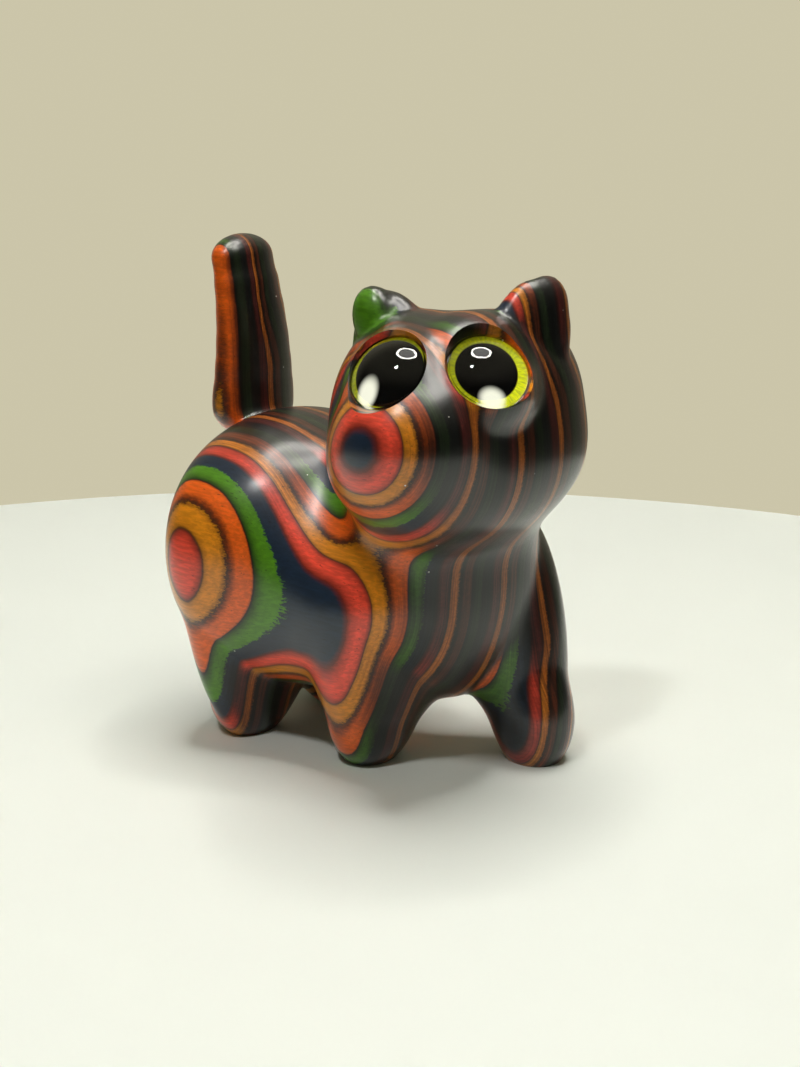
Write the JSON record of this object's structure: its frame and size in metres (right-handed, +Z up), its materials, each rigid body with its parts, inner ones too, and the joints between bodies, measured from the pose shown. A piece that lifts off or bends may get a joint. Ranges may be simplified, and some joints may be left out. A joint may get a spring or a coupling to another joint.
{
  "type": "figurine",
  "caption": "Standing cat figurine carved from colourful laminated wood, with raised tail, turned head and domed glass cabochon eyes.",
  "frame": {"origin": "on the ground, under the middle of the figurine's bounding box", "axes": "+Z up; +Y towards the tail end; -X towards the cat's right side, the side that its head turns to"},
  "size_m": [0.0452, 0.0626, 0.0703],
  "materials": {
    "wood": "layers of dyed veneer under clear gloss lacquer",
    "glass": "clear polished dome over a painted back"
  },
  "bodies": {
    "root": {"carved_body": "wood", "right_eye": "glass", "left_eye": "glass"}
  },
  "joints": []
}
